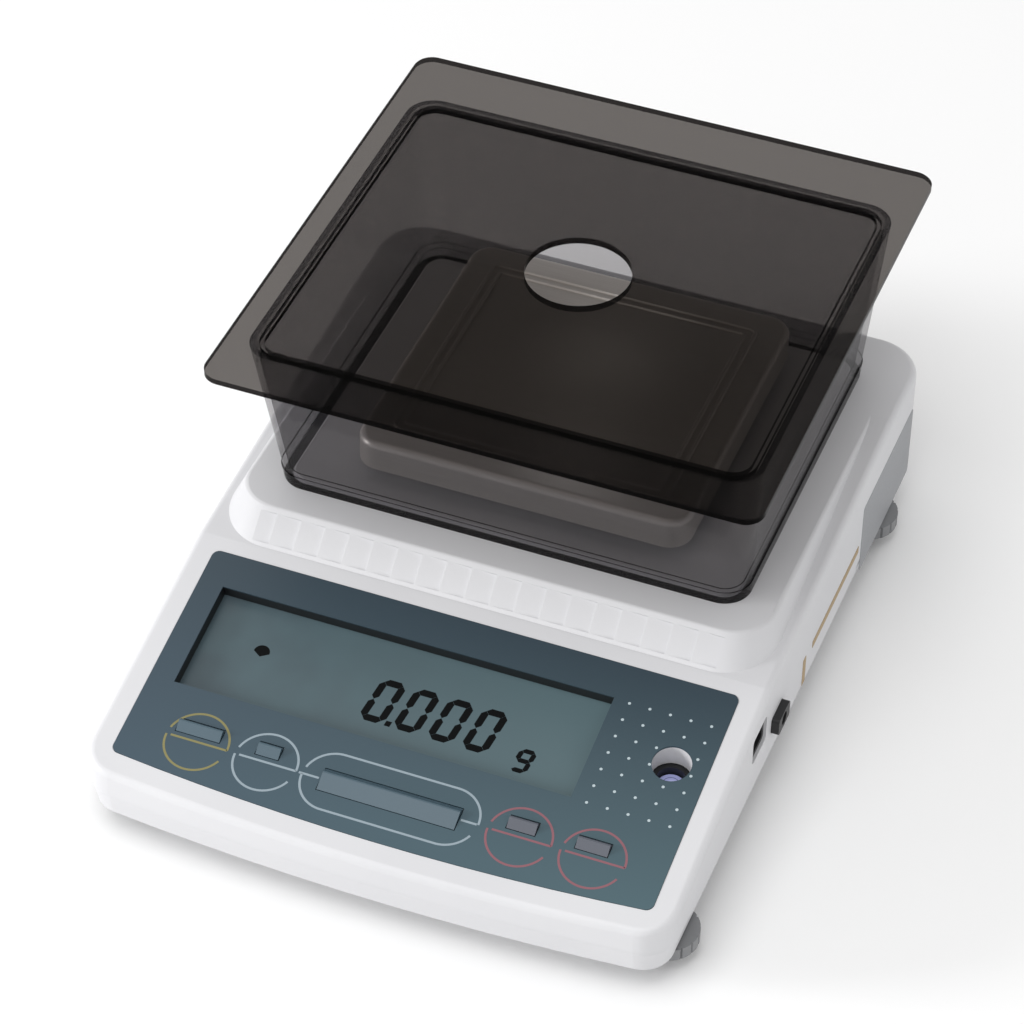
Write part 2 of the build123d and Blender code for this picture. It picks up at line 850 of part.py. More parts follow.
def weigh_cell_column():
    """Cast column with the two seats of the parallel guides."""
    block = Pos(0, column_front_y, chassis_top_z) * Box(
        column_width, column_depth, guide_lower_z - chassis_top_z,
        align=(Align.CENTER, Align.MIN, Align.MIN))
    block += Pos(0, column_front_y + ledge_depth, chassis_top_z) * Box(
        column_width, column_depth - ledge_depth, guide_upper_z - chassis_top_z,
        align=(Align.CENTER, Align.MIN, Align.MIN))
    block -= Pos(0, column_front_y - 1, chassis_top_z + 6) * Box(
        column_width - 24, column_depth - 4, guide_lower_z - chassis_top_z - 12,
        align=(Align.CENTER, Align.MIN, Align.MIN))
    return block


def parallel_guide(z, back_y):
    """Thin A-shaped spring guide from the column to the moving post."""
    base = column_width / 2
    nose = guide_nose_radius
    seat_front = column_front_y
    outline = make_face(Polyline(
        (-base, back_y), (base, back_y), (base, seat_front), (nose, pan_y), (-nose, pan_y),
        (-base, seat_front), close=True,
    ))
    window = make_face(Polyline(
        (-base + guide_arm + 2, seat_front - 2), (base - guide_arm - 2, seat_front - 2),
        (nose - guide_arm + 1.5, pan_y + nose + 1.5), (-nose + guide_arm - 1.5, pan_y + nose + 1.5),
        close=True,
    ))
    plate = extrude(Pos(0, 0, z) * (outline - window), amount=guide_thickness)
    plate += rod(nose, z, z + guide_thickness, 0, pan_y)
    plate -= rod(post_radius + guide_post_gap, z - 1, z + 2, 0, pan_y)
    return plate


def guide_clamps():
    """Clamp bars that press the two guides on their seats."""
    group = []
    for y, depth, z in (
        (column_front_y, ledge_depth, guide_lower_z),
        (column_front_y + ledge_depth, column_depth - ledge_depth, guide_upper_z),
    ):
        bar = Pos(0, y + 1, z + guide_thickness) * Box(
            column_width, depth - 2, clamp_height, align=(Align.CENTER, Align.MIN, Align.MIN))
        group.append(bar)
    return Compound(children=group)


def pan_support():
    """Cast cross that drops over the post and carries the pan on four pads."""
    top = pan_under_z - pad_height
    low_z = top - support_thickness
    reach_x = pan_half - pad_inset
    reach_y = pan_depth / 2 - pad_inset
    length = 2 * math.hypot(reach_x, reach_y)
    angle = math.degrees(math.atan2(reach_y, reach_x))
    arm = SlotCenterToCenter(length, support_arm_width)
    sketch = Rot(0, 0, angle) * arm + Rot(0, 0, -angle) * arm
    body = extrude(Pos(0, pan_y, low_z) * sketch, amount=support_thickness)
    hub_bottom = plateau_z + plinth_height + collar_height + 0.8
    body += rod(support_hub_radius, hub_bottom, top, 0, pan_y)
    hollow = post_radius + post_fit
    body -= rod(hollow, hub_bottom - 1, post_top_z + 0.05, 0, pan_y)
    return body


def pan_pads():
    """Four rubber pads between the cross and the pan."""
    reach_x = pan_half - pad_inset
    reach_y = pan_depth / 2 - pad_inset
    low_z = pan_under_z - pad_height
    return Compound(children=[
        rod(pad_radius, low_z, pan_under_z, sx * reach_x, pan_y + sy * reach_y)
        for sx in (-1, 1) for sy in (-1, 1)
    ])


def weighing_pan():
    """Pressed stainless pan with a turned-down skirt and a double bead."""
    def shell(inset, top, bottom):
        plate = rounded(pan_half - inset, pan_front + inset, pan_rear - inset,
                        pan_corner_radius - inset, bottom)
        return extrude(plate, amount=top - bottom)

    pan = shell(0, pan_top_z, pan_top_z - pan_skirt)
    pan = fillet(pan.faces().sort_by(Axis.Z)[-1].edges(), pan_edge_radius)
    inside = shell(pan_sheet, pan_under_z, pan_top_z - pan_skirt - 1)
    pan -= chamfer(inside.faces().sort_by(Axis.Z)[-1].edges(), pan_edge_radius / 2)
    for step in (0, 1):
        inset = pan_bead_inset + step * pan_bead_pitch
        radius = max(pan_corner_radius - inset / 2, 1.5)
        outer = rounded(pan_half - inset, pan_front + inset, pan_rear - inset, radius, pan_top_z)
        inner = rounded(pan_half - inset - pan_bead_width, pan_front + inset + pan_bead_width,
                        pan_rear - inset - pan_bead_width, max(radius - pan_bead_width, 0.4),
                        pan_top_z)
        bead = extrude(outer - inner, amount=pan_bead_height)
        bead = chamfer(bead.faces().sort_by(Axis.Z)[-1].edges(), pan_bead_height * 0.7)
        pan += bead
    return pan


def shield_wall_form(inset, z_low, z_high):
    """The shield's leaning box between two heights, inset from its outer face."""
    def section(z):
        t = (z - plateau_z) / shield_height
        return rounded(
            shield_base_half + shield_side_lean * t - inset,
            shield_base_front - shield_front_lean * t + inset,
            shield_base_rear + shield_rear_lean * t - inset,
            shield_base_radius + (shield_top_radius - shield_base_radius) * t - inset, z,
        )
    return loft([section(z_low), section(z_high)], ruled=True)


def draft_shield():
    """Smoky moulded wall, open above and below, with a thicker foot."""
    foot_top = plateau_z + shield_foot_height
    wall_form = shield_wall_form(0, plateau_z, shield_top_z)
    wall_form += shield_wall_form(-shield_foot_extra / 2, plateau_z, foot_top)
    bore = shield_wall_form(shield_wall + shield_foot_extra / 2, plateau_z - 1, foot_top)
    bore += shield_wall_form(shield_wall, foot_top - 0.5, shield_top_z + 1)
    return wall_form - bore


def shield_lid():
    """Flat smoky lid with a round opening and a rib that locates it in the wall."""
    low_z = shield_top_z
    plate = extrude(rounded(lid_half, lid_front, lid_rear, lid_corner_radius, low_z),
                    amount=lid_thickness)
    plate = chamfer(plate.faces().sort_by(Axis.Z)[-1].edges(), lid_edge)
    t = (shield_height - lid_rib_height) / shield_height
    inset = shield_wall + lid_rib_gap + shield_front_lean * (1 - t)
    half = shield_top_half - inset
    front = shield_top_front + inset
    rear = shield_top_rear - inset
    radius = shield_top_radius - shield_wall
    outer = rounded(half, front, rear, radius, low_z - lid_rib_height)
    inner = rounded(half - lid_rib_thickness, front + lid_rib_thickness, rear - lid_rib_thickness,
                    radius - lid_rib_thickness, low_z - lid_rib_height)
    plate += extrude(outer - inner, amount=lid_rib_height)
    plate -= rod(lid_hole_radius, low_z - 5, low_z + 5, 0, (lid_front + lid_rear) / 2)
    return plate


def foot_stud(x, y):
    """Threaded stud with its round tip."""
    stud = rod(stud_radius, 0, stud_top_z, x, y)
    tip = rod(tip_radius, 0, tip_height, x, y)
    tip = chamfer(tip.faces().sort_by(Axis.Z)[0].edges(), 0.8)
    return stud + tip


def foot_wheel(x, y):
    """Notched thumb wheel on the stud."""
    bottom = tip_height + wheel_rest_gap
    top = base_z - wheel_top_gap
    wheel = rod(wheel_radius, bottom, top, x, y)
    wheel = chamfer(wheel.faces().sort_by(Axis.Z)[0].edges(), 1.2)
    half = wheel_notch_width / 2
    outer = wheel_radius + 0.5
    v_cut = make_face(Polyline(
        (wheel_radius - wheel_notch_depth, 0), (outer, half), (outer, -half), close=True))
    for i in range(wheel_notches):
        turned = Pos(x, y, bottom - 1) * Rot(0, 0, i * 360 / wheel_notches) * v_cut
        wheel -= extrude(turned, amount=top - bottom + 2)
    return wheel - rod(stud_radius + stud_fit, 0, top + 1, x, y)


def case_screws():
    """Screws that hold the two housings together, driven from below."""
    group = []
    for x, y in screw_places:
        start = base_z + 0.4
        screw = rod(screw_head_radius, start, start + screw_head_height, x, y)
        screw += rod(screw_radius, start, start + screw_length, x, y)
        group.append(screw)
    return Compound(children=group)


nodes = {
    "upper_case": upper_case(),
    "lower_case": lower_case(),
    "panel_overlay": panel_overlay(),
    "display_bezel": display_bezel(),
    "display_cell": display_cell(),
    "display_board": display_board(),
    "key_board": key_board(),
    "key_switches": key_switches(),
    "level_cup": level_cup(),
    "level_vial": level_vial(),
    "data_socket": data_socket(),
    "power_inlet": power_inlet(),
    "connector_board": connector_board(),
    "main_board": main_board(),
    "chassis": chassis(),
    "magnet_pot": magnet_pot(),
    "position_sensor": position_sensor(),
    "display_cable": display_cable(),
    "cell_cable": cell_cable(),
    "weigh_cell_column": weigh_cell_column(),
    "guide_lower": parallel_guide(guide_lower_z, column_front_y + ledge_depth),
    "guide_upper": parallel_guide(guide_upper_z, column_front_y + column_depth),
    "guide_clamps": guide_clamps(),
    "load_receptor": load_receptor(),
    "force_coil": force_coil(),
    "pan_support": pan_support(),
    "pan_pads": pan_pads(),
    "weighing_pan": weighing_pan(),
    "draft_shield": draft_shield(),
    "shield_lid": shield_lid(),
    "case_screws": case_screws(),
}
for name, tab in key_tabs().items():
    nodes[name] = key_cap(tab)
for place, (x, y) in feet.items():
    nodes["foot_stud_" + place] = foot_stud(x, y)
    nodes["foot_wheel_" + place] = foot_wheel(x, y)

for name, shape in nodes.items():
    export_step(shape, "parts/" + name + ".step")
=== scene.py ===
import math

import bpy
import numpy as np
from mathutils import Matrix, Vector


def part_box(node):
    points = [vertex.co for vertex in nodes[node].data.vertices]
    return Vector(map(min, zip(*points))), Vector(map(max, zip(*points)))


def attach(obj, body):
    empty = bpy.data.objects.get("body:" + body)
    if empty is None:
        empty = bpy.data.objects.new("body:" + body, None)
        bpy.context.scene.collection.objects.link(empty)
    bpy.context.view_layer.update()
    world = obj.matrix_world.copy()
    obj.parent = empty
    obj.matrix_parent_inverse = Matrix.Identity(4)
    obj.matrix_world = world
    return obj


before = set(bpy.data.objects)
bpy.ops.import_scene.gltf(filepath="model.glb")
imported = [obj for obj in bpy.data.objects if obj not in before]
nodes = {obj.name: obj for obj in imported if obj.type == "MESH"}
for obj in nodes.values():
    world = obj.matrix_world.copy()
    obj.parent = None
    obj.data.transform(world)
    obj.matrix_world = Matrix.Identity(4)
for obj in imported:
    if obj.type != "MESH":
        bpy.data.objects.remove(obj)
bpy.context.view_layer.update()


# Camera and studio. A long lens looks down on the balance from the front right, over a
# pale table. One softbox hangs above and one stands far to the left, so that its light
# grazes the pedestal's ribs.
TURN = math.radians(21.2517)
TILT = math.radians(42.6384)
ROLL = math.radians(0.4114)
LENS = 134.09
DISTANCE = 1.22739
SIDE_STEP = -0.021358
RISE_STEP = -0.077441
LID_CENTRE = Vector((0.0, 0.046, 0.123))

back = Vector((math.sin(TURN) * math.cos(TILT), -math.cos(TURN) * math.cos(TILT), math.sin(TILT)))
level_right = Vector((math.cos(TURN), math.sin(TURN), 0.0))
level_up = level_right.cross(-back)
camera_right = level_right * math.cos(ROLL) + level_up * math.sin(ROLL)
camera_up = level_up * math.cos(ROLL) - level_right * math.sin(ROLL)
camera_place = LID_CENTRE + camera_right * SIDE_STEP + camera_up * RISE_STEP + back * DISTANCE
camera = bpy.data.objects.new("camera", bpy.data.cameras.new("camera"))
camera.data.lens = LENS
camera.data.sensor_width = 36.0
camera.data.clip_end = 20.0
camera.matrix_world = Matrix.Translation(camera_place) @ Matrix(
    (camera_right, camera_up, back)).transposed().to_4x4()
bpy.context.scene.collection.objects.link(camera)
bpy.context.scene.camera = camera


def linear_colour(code):
    """An sRGB hex colour turned to the linear values that shaders take."""
    parts = [int(code[i:i + 2], 16) / 255 for i in (1, 3, 5)]
    return tuple(p / 12.92 if p <= 0.04045 else ((p + 0.055) / 1.055) ** 2.4 for p in parts) + (1.0,)


def add_node(tree, kind, inputs=(), **settings):
    """Adds a node, sets its properties, and sets or links each of its inputs."""
    node = tree.nodes.new(kind)
    for key, value in settings.items():
        setattr(node, key, value)
    for key, value in dict(inputs).items():
        if isinstance(value, bpy.types.NodeSocket):
            tree.links.new(value, node.inputs[key])
        else:
            node.inputs[key].default_value = value
    return node


def new_material(name):
    """An empty node material and its tree."""
    material = bpy.data.materials.new(name)
    material.use_nodes = True
    material.node_tree.nodes.clear()
    return material, material.node_tree


def finish_material(material, shader):
    """Puts a shader on the material's output."""
    add_node(material.node_tree, "ShaderNodeOutputMaterial", {"Surface": shader.outputs[0]})
    return material


def soft_light(name, place, aim, size, power, colour="#FFFFFF"):
    """A square softbox that looks at a point."""
    light = bpy.data.lights.new(name, "AREA")
    light.size = size
    light.energy = power
    light.color = linear_colour(colour)[:3]
    lamp = bpy.data.objects.new(name, light)
    lamp.location = place
    lamp.rotation_euler = (Vector(aim) - Vector(place)).to_track_quat("-Z", "Y").to_euler()
    bpy.context.scene.collection.objects.link(lamp)
    return lamp


table_cover, tree = new_material("white_table_paper")
finish_material(table_cover, add_node(tree, "ShaderNodeBsdfPrincipled", {
    "Base Color": linear_colour("#FCFCFC"), "Roughness": 0.85, "Specular IOR Level": 0.1}))
table_mesh = bpy.data.meshes.new("table")
table_mesh.from_pydata([(-6, -6, 0), (6, -6, 0), (6, 6, 0), (-6, 6, 0)], [], [(0, 1, 2, 3)])
table_mesh.materials.append(table_cover)
table = bpy.data.objects.new("table", table_mesh)
bpy.context.scene.collection.objects.link(table)

soft_light("key_softbox", (-0.2, -0.75, 2.1), (0, 0.05, 0.08), 1.4, 18)
soft_light("front_softbox", (-1.9, -1.0, 0.55), (0, 0, 0.05), 0.5, 24)
world = bpy.data.worlds.new("studio")
world.use_nodes = True
world.node_tree.nodes["Background"].inputs["Color"].default_value = (1, 1, 1, 1)
world.node_tree.nodes["Background"].inputs["Strength"].default_value = 0.66
bpy.context.scene.world = world
bpy.context.scene.view_settings.view_transform = "Standard"


# Housing: two injection-moulded ABS shells in pale grey, screwed together from below. The
# mould's spark-eroded steel leaves a satin grain, half a millimetre across on such housings.
ABS_GREY = "#DDDDDF"
ABS_SHADE = "#D3D3D6"
GRAIN_MM = 0.5
PATCHES_PER_METRE = 22.0
MM = 0.001


def moulded_plastic(name, light, dark, roughness, grain_mm, grain_depth_mm=0.02):
    """Moulded plastic: two close colours in slow patches and a fine spark-eroded grain."""
    material, tree = new_material(name)
    place = add_node(tree, "ShaderNodeTexCoord").outputs["Object"]
    patches = add_node(tree, "ShaderNodeTexNoise", {
        "Vector": place, "Scale": PATCHES_PER_METRE, "Detail": 3.0})
    colour = add_node(tree, "ShaderNodeMix", {
        "Factor": patches.outputs["Fac"], 6: linear_colour(light), 7: linear_colour(dark)},
        data_type="RGBA")
    grain = add_node(tree, "ShaderNodeTexNoise", {
        "Vector": place, "Scale": 1 / (grain_mm * MM), "Detail": 2.0})
    bump = add_node(tree, "ShaderNodeBump", {
        "Height": grain.outputs["Fac"], "Strength": 0.35, "Distance": grain_depth_mm * MM})
    gloss = add_node(tree, "ShaderNodeMapRange", {
        "Value": grain.outputs["Fac"], "To Min": roughness - 0.05, "To Max": roughness + 0.05})
    return finish_material(material, add_node(tree, "ShaderNodeBsdfPrincipled", {
        "Base Color": colour.outputs[2], "Roughness": gloss.outputs[0],
        "Normal": bump.outputs["Normal"]}))


def dress(name, material):
    """Gives a CAD node its finished material."""
    data = nodes[name].data
    data.materials.clear()
    data.materials.append(material)


housing_abs = moulded_plastic("moulded_abs_pale_grey", ABS_GREY, ABS_SHADE, 0.46, GRAIN_MM)
dress("upper_case", housing_abs)
dress("lower_case", housing_abs)


# Front panel film: matt polyester printed on its underside in slate blue. Its colour turns greener
# towards the front right and darker towards its rear edge. It is laminated in the housing's recess.
PANEL_SLOPE = math.radians(11.81)
PANEL_FRONT_MM = 12.3
PANEL_RISE_MM = 11.0
PANEL_LENGTH_MM = 81.8
FILM_LIFT_MM = 0.15
FILM_FRONT_LEFT = "#3C4F5C"
FILM_FRONT_RIGHT = "#466068"
FILM_BACK = "#33424C"

case_low, case_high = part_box("upper_case")
panel_front_y = case_low.y + PANEL_FRONT_MM * MM
panel_front_z = case_low.z + PANEL_RISE_MM * MM


def on_panel(x, s, lift):
    """Points in metres for x across, s up the slope and lift off the panel, all in mm."""
    x, s, lift = np.broadcast_arrays(np.asarray(x, float), s, lift)
    y = panel_front_y + (s * math.cos(PANEL_SLOPE) - lift * math.sin(PANEL_SLOPE)) * MM
    z = panel_front_z + (s * math.sin(PANEL_SLOPE) + lift * math.cos(PANEL_SLOPE)) * MM
    return np.stack([x * MM, y, z], -1)


def add_piece(name, points, faces, material, body):
    """A new mesh piece, already in its place, that rides on a body."""
    mesh = bpy.data.meshes.new(name)
    mesh.from_pydata(np.asarray(points).tolist(), [], [list(map(int, f)) for f in faces])
    mesh.materials.append(material)
    piece = bpy.data.objects.new(name, mesh)
    bpy.context.scene.collection.objects.link(piece)
    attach(piece, body)
    return piece


def film_material():
    """Matt printed film whose colour turns slowly from edge to edge, both ways."""
    material, tree = new_material("printed_polyester_film")
    place = add_node(tree, "ShaderNodeTexCoord").outputs["Object"]
    split = add_node(tree, "ShaderNodeSeparateXYZ", {"Vector": place})
    along = add_node(tree, "ShaderNodeMapRange", {
        "Value": split.outputs["Y"], "From Min": panel_front_y,
        "From Max": panel_front_y + PANEL_LENGTH_MM * MM})
    across = add_node(tree, "ShaderNodeMapRange", {
        "Value": split.outputs["X"], "From Min": case_low.x, "From Max": case_high.x})
    front = add_node(tree, "ShaderNodeMix", {
        "Factor": across.outputs[0], 6: linear_colour(FILM_FRONT_LEFT),
        7: linear_colour(FILM_FRONT_RIGHT)}, data_type="RGBA")
    colour = add_node(tree, "ShaderNodeMix", {
        "Factor": along.outputs[0], 6: front.outputs[2], 7: linear_colour(FILM_BACK)},
        data_type="RGBA")
    grain = add_node(tree, "ShaderNodeTexNoise", {"Vector": place, "Scale": 1 / (0.35 * MM)})
    bump = add_node(tree, "ShaderNodeBump", {
        "Height": grain.outputs["Fac"], "Strength": 0.15, "Distance": 0.01 * MM})
    return finish_material(material, add_node(tree, "ShaderNodeBsdfPrincipled", {
        "Base Color": colour.outputs[2], "Roughness": 0.38, "Normal": bump.outputs["Normal"]}))


film = film_material()
dress("panel_overlay", film)


# Printing on the film: the key rings and the rows of dots beside the level window, in
# screen ink. Each is a closed sheet a few hundredths of a millimetre thick, whose underside
# lies just inside the film.
INK_LOW_MM = FILM_LIFT_MM - 0.02
INK_HIGH_MM = FILM_LIFT_MM + 0.03
KEY_ROW_MM = 11.5
RING_RADIUS_MM = 10.4
RING_WIDTH_MM = 0.75
RING_BAR_LEFT_MM = 9.0
UPPER_START_DEG, LOWER_END_DEG = 166, 335
key_centres = {"key_power": -65.6, "key_units": -42.0, "key_print": 43.0, "key_calibrate": 67.0}


def ink_material(name, code, roughness=0.5, shine=0.5):
    """Ink or foil: one colour with a slightly uneven gloss."""
    material, tree = new_material(name)
    place = add_node(tree, "ShaderNodeTexCoord").outputs["Object"]
    grain = add_node(tree, "ShaderNodeTexNoise", {"Vector": place, "Scale": 1 / (0.8 * MM)})
    gloss = add_node(tree, "ShaderNodeMapRange", {
        "Value": grain.outputs["Fac"], "To Min": roughness - 0.08, "To Max": roughness + 0.08})
    return finish_material(material, add_node(tree, "ShaderNodeBsdfPrincipled", {
        "Base Color": linear_colour(code), "Roughness": gloss.outputs[0],
        "Specular IOR Level": shine}))


def prisms(outlines, low, high, surface=on_panel):
    """Closed prisms, as one set of points and faces: each flat convex outline is laid on the
    surface at two lifts, turned counter-clockwise, and its two copies are joined by quads."""
    points, faces, start = [], [], 0
    for outline in outlines:
        outline = np.asarray(outline, float)
        n = len(outline)
        area = np.sum(outline[:, 0] * np.roll(outline[:, 1], -1)
                      - outline[:, 1] * np.roll(outline[:, 0], -1))
        if area < 0:
            outline = outline[::-1]
        points.append(surface(outline[:, 0], outline[:, 1], low))
        points.append(surface(outline[:, 0], outline[:, 1], high))
        i = np.arange(n)
        j = np.roll(i, -1)
        faces.append(list(start + i[::-1]))
        faces.append(list(start + n + i))
        faces += (np.stack([i, j, j + n, i + n], 1) + start).tolist()
        start += 2 * n
    return np.concatenate(points), faces


def ribbon(path, width, low, high, surface=on_panel):
    """A flat band of even width along an open path: its two edges are the path moved
    sideways by half the width, square to its direction."""
    path = np.asarray(path, float)
    along = np.gradient(path, axis=0)
    along /= np.linalg.norm(along, axis=1)[:, None]
    side = np.stack([-along[:, 1], along[:, 0]], 1) * width / 2
    left, right = path + side, path - side
    rings = np.stack([surface(left[:, 0], left[:, 1], high), surface(left[:, 0], left[:, 1], low),
                      surface(right[:, 0], right[:, 1], low),
                      surface(right[:, 0], right[:, 1], high)], 1)
    n = len(path)
    i = np.arange(n - 1)[:, None] * 4
    j = np.arange(4)[None, :]
    k = (j + 1) % 4
    quads = np.stack([i + j, i + k, i + 4 + k, i + 4 + j], -1).reshape(-1, 4)
    caps = [[3, 2, 1, 0], [4 * n - 4, 4 * n - 3, 4 * n - 2, 4 * n - 1]]
    return rings.reshape(-1, 3), quads.tolist() + caps


def merged(*shapes):
    """Several sets of points and faces as one."""
    points, faces, start = [], [], 0
    for p, f in shapes:
        points.append(p)
        faces += [[start + v for v in face] for face in f]
        start += len(p)
    return np.concatenate(points), faces


def arc(centre, radius, start, end, count=40):
    """Points on a circle between two angles in degrees."""
    a = np.radians(np.linspace(start, end, count))
    return np.stack([centre[0] + radius * np.cos(a), centre[1] + radius * np.sin(a)], 1)


def line(a, b, count=8):
    """Evenly spaced points between two points."""
    return np.asarray(a, float) + np.linspace(0, 1, count)[:, None] * (np.asarray(b) - np.asarray(a))


def ring_bands(x, width):
    """A key's ring: an upper arc that comes back along the middle, and a lower arc."""
    centre = (x, KEY_ROW_MM)
    upper = arc(centre, RING_RADIUS_MM, UPPER_START_DEG, 0)
    middle = line((x + RING_RADIUS_MM, KEY_ROW_MM), (x - RING_BAR_LEFT_MM, KEY_ROW_MM))
    lower = arc(centre, RING_RADIUS_MM, 180, LOWER_END_DEG)
    return merged(*(ribbon(path, width, INK_LOW_MM, INK_HIGH_MM) for path in (upper, middle, lower)))


ring_colours = {"key_power": "#857F52", "key_units": "#93A2AB",
                "key_print": "#8A5962", "key_calibrate": "#8A5962"}
for key, x in key_centres.items():
    points, faces = ring_bands(x, RING_WIDTH_MM)
    add_piece(key + "_ring", points, faces, ink_material(key + "_ring_ink", ring_colours[key]),
              "base")

TARE_HALF_MM = 29.5
TARE_BAR_HALF_MM = 23.3
BAR_CLEAR_MM = 0.5
RING_CLEAR_MM = 1.0
tare_left = (-TARE_HALF_MM + RING_RADIUS_MM, KEY_ROW_MM)
tare_right = (TARE_HALF_MM - RING_RADIUS_MM, KEY_ROW_MM)
upper = np.concatenate([arc(tare_left, RING_RADIUS_MM, UPPER_START_DEG, 90, 20),
                        arc(tare_right, RING_RADIUS_MM, 90, 0, 20)])
lower = np.concatenate([arc(tare_left, RING_RADIUS_MM, 180, 270, 20),
                        arc(tare_right, RING_RADIUS_MM, 270, LOWER_END_DEG, 20)])
middle_left = line((key_centres["key_units"] + RING_RADIUS_MM + RING_CLEAR_MM, KEY_ROW_MM),
                   (-TARE_BAR_HALF_MM - BAR_CLEAR_MM, KEY_ROW_MM))
middle_right = line((TARE_BAR_HALF_MM + BAR_CLEAR_MM, KEY_ROW_MM),
                    (TARE_HALF_MM - BAR_CLEAR_MM, KEY_ROW_MM))
white_ink = ink_material("white_screen_ink", "#93A2AB")
points, faces = merged(*(ribbon(path, RING_WIDTH_MM, INK_LOW_MM, INK_HIGH_MM)
                         for path in (upper, lower, middle_left, middle_right)))
add_piece("key_tare_ring", points, faces, white_ink, "base")

DOT_RADIUS_MM = 0.5
dot_columns_mm = np.linspace(58.2, 85.4, 5)
dot_rows_mm = np.linspace(29.8, 68.2, 7)
LEVEL_X_MM, LEVEL_S_MM, LEVEL_WINDOW_MM = 78.3, 51.4, 6.3
dots = [arc((x, s), DOT_RADIUS_MM, 0, 330, 12) for x in dot_columns_mm for s in dot_rows_mm
        if math.hypot(x - LEVEL_X_MM, s - LEVEL_S_MM) > LEVEL_WINDOW_MM + DOT_RADIUS_MM]
points, faces = prisms(dots, INK_LOW_MM, INK_HIGH_MM)
add_piece("panel_dots", points, faces, ink_material("pale_blue_screen_ink", "#B9C7CC"),
          "base")


# Keys: raised tabs of the same film over a hard core, formed with a sharp ridge. The tare
# bar and the two on the left are slate, the two on the right sit in rose printing.
key_film = moulded_plastic("embossed_film_slate_teal", "#4A5F6B", "#445863", 0.4, 0.35, 0.01)
key_rose = moulded_plastic("embossed_film_slate_rose", "#565A64", "#50545E", 0.4, 0.35, 0.01)
for key in ("key_power", "key_units", "key_tare"):
    dress(key, key_film)
for key in ("key_print", "key_calibrate"):
    dress(key, key_rose)


# Display: a grey-green liquid-crystal glass cell that sits in a dark moulded well, with
# seven-segment figures. The figures are a dark layer a hair above the cell's glass.
LCD_DEPTH_MM = -4.4
LCD_PATCHES_PER_METRE = 60.0
SEGMENT_INK = "#07090A"


cell_low, cell_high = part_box("display_cell")


def lcd_material():
    """Reflective liquid-crystal glass: grey-green with faint patches, and painted shade that darkens
    it towards the left.
    """
    material, tree = new_material("reflective_lcd_glass")
    place = add_node(tree, "ShaderNodeTexCoord").outputs["Object"]
    noise = add_node(tree, "ShaderNodeTexNoise", {
        "Vector": place, "Scale": LCD_PATCHES_PER_METRE})
    split = add_node(tree, "ShaderNodeSeparateXYZ", {"Vector": place})
    across = add_node(tree, "ShaderNodeMapRange", {
        "Value": split.outputs["X"], "From Min": cell_low.x, "From Max": cell_high.x})
    # Painted shade: the cell's colour is mixed darker towards its left edge, where the well shades it.
    even = add_node(tree, "ShaderNodeMix", {
        "Factor": across.outputs[0], 6: linear_colour("#424C53"), 7: linear_colour("#596F74")},
        data_type="RGBA")
    colour = add_node(tree, "ShaderNodeMix", {
        "Factor": noise.outputs["Fac"], 6: even.outputs[2], 7: linear_colour("#52676D")},
        data_type="RGBA")
    return finish_material(material, add_node(tree, "ShaderNodeBsdfPrincipled", {
        "Base Color": colour.outputs[2], "Roughness": 0.3}))


dress("display_cell", lcd_material())
well_abs = moulded_plastic("moulded_abs_black", "#17181A", "#101113", 0.4, GRAIN_MM)
dress("display_bezel", well_abs)

DIGIT_HEIGHT_MM = 16.6
DIGIT_WIDTH_MM = 8.8
DIGIT_STROKE_MM = 2.4
DIGIT_SLANT = 0.14
DIGIT_PITCH_MM = 11.6
SEGMENT_GAP_MM = 0.05
FIGURE_LEFT_MM = -22.8
FIGURE_LOW_MM = 38.6
POINT_CLEAR_MM = 0.4
UNIT_LEFT_MM, UNIT_LOW_MM = 29.4, 35.7
UNIT_WIDTH_MM, UNIT_HEIGHT_MM, UNIT_STROKE_MM = 5.8, 9.0, 1.6
MARK_CENTRE_MM, MARK_RADIUS_MM, MARK_TIP_MM = (-61.4, 51.9), 2.7, (-61.4, 50.2)


def segment(a, b, stroke):
    """A long six-sided bar from a to b with pointed ends."""
    a, b = np.asarray(a, float), np.asarray(b, float)
    along = (b - a) / np.linalg.norm(b - a)
    side = np.array([-along[1], along[0]]) * stroke / 2
    tip = along * stroke / 2
    a, b = a + along * SEGMENT_GAP_MM, b - along * SEGMENT_GAP_MM
    return np.array([a, a + tip + side, b - tip + side, b, b - tip - side, a + tip - side])


def figure(lit, left, low, width, height, stroke):
    """The lit bars of a slanted seven-segment figure; a to g from the top, clockwise."""
    half = stroke / 2
    x0, x1 = half, width - half
    y0, ym, y1 = half, height / 2, height - half
    bars = {"a": ((x0, y1), (x1, y1)), "b": ((x1, y1), (x1, ym)), "c": ((x1, ym), (x1, y0)),
            "d": ((x1, y0), (x0, y0)), "e": ((x0, y0), (x0, ym)), "f": ((x0, ym), (x0, y1)),
            "g": ((x0, ym), (x1, ym))}
    made = []
    for name in lit:
        bar = segment(*bars[name], stroke)
        bar[:, 0] += bar[:, 1] * DIGIT_SLANT
        made.append(bar + np.array([left, low]))
    return made


